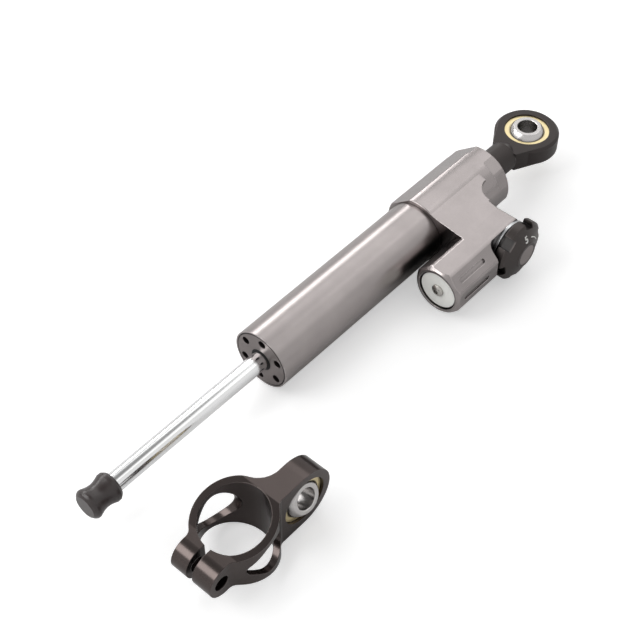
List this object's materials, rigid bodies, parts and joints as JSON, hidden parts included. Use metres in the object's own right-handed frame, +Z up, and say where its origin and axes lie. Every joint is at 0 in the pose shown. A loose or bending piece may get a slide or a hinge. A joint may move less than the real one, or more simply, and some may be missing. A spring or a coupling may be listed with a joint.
{
  "type": "steering damper",
  "caption": "Motorcycle steering damper: grey tube with a chromed through rod, side reservoir with damping knob, spherical rod eye, and a loose black pinch clamp with a spherical eye.",
  "frame": {"origin": "centre of the ball in the rod eye", "axes": "+X along the damper's axis from the rod tip to the rod eye, +Z up along the bolt bore of the rod eye's ball, +Y away from the reservoir"},
  "size_m": [0.2849, 0.0797, 0.031],
  "materials": {
    "grey_anodised": "satin anodised, warm grey",
    "bright_aluminium": "bare, finely turned",
    "chromed_steel": "hard chromed and polished",
    "steel": "polished",
    "black_steel": "blackened",
    "black_anodised": "satin black anodised",
    "clamp_black": "glossy black anodised",
    "knob_disc_grey": "satin grey",
    "brass": "machined",
    "black_plastic": "smooth black",
    "band_plastic": "filled bearing plastic",
    "rubber": "matt black"
  },
  "bodies": {
    "cylinder": {"cylinder_tube": "grey_anodised", "head_block": "grey_anodised", "rod_gland": "grey_anodised", "inner_liner": "bright_aluminium", "reservoir_cap": "bright_aluminium", "adjuster_collar": "bright_aluminium", "filler_screw": "steel", "detent_plunger": "steel", "detent_ball": "steel", "cap_circlip": "black_steel", "front_guide_bush": "brass", "rear_guide_bush": "brass", "gland_o_ring": "rubber", "front_wiper": "rubber", "front_rod_seal": "rubber", "head_o_ring": "rubber", "rear_rod_seal": "rubber", "rear_wiper": "rubber", "cap_o_ring": "rubber"},
    "wear_band": {"piston_band": "band_plastic"},
    "rod": {"piston_rod": "chromed_steel", "piston": "bright_aluminium", "piston_clips": "black_steel", "rod_tip_cap": "black_plastic", "rod_end": "black_anodised", "rod_end_race": "brass"},
    "rod_ball": {"rod_end_ball": "steel"},
    "adjuster": {"adjuster_knob": "black_anodised", "knob_cap": "knob_disc_grey", "knob_screw": "steel", "adjuster_spindle": "bright_aluminium", "spindle_o_ring": "rubber"},
    "floater": {"floating_piston": "bright_aluminium", "floating_piston_o_ring": "rubber"},
    "clamp": {"clamp_bracket": "clamp_black", "clamp_race": "brass"},
    "loose_ball": {"clamp_ball": "steel"}
  },
  "joints": [
    {"name": "rod_slide", "type": "slide", "parent": "cylinder", "child": "wear_band", "axis": [1, 0, 0], "range_m": [0, 0.076]},
    {"name": "rod_turn", "type": "hinge", "parent": "wear_band", "child": "rod", "pos_m": [0, 0, 0], "axis": [1, 0, 0], "continuous": true},
    {"name": "rod_ball_turn", "type": "hinge", "parent": "rod", "child": "rod_ball", "pos_m": [0, 0, 0], "axis": [0, 0, 1], "continuous": true},
    {"name": "knob_turn", "type": "hinge", "parent": "cylinder", "child": "adjuster", "pos_m": [-0.0605, -0.034, 0], "axis": [0, -1, 0], "range_deg": [-135, 135]},
    {"name": "floater_slide", "type": "slide", "parent": "cylinder", "child": "floater", "axis": [1, 0, 0], "range_m": [-0.005, 0.005]},
    {"name": "clamp_lift", "type": "slide", "parent": "cylinder", "child": "clamp", "axis": [0, 0, 1], "range_m": [0, 0.06]},
    {"name": "loose_ball_turn", "type": "hinge", "parent": "clamp", "child": "loose_ball", "pos_m": [-0.2142, -0.0516, -0.0017], "axis": [0, -0.9511, 0.309], "continuous": true}
  ]
}
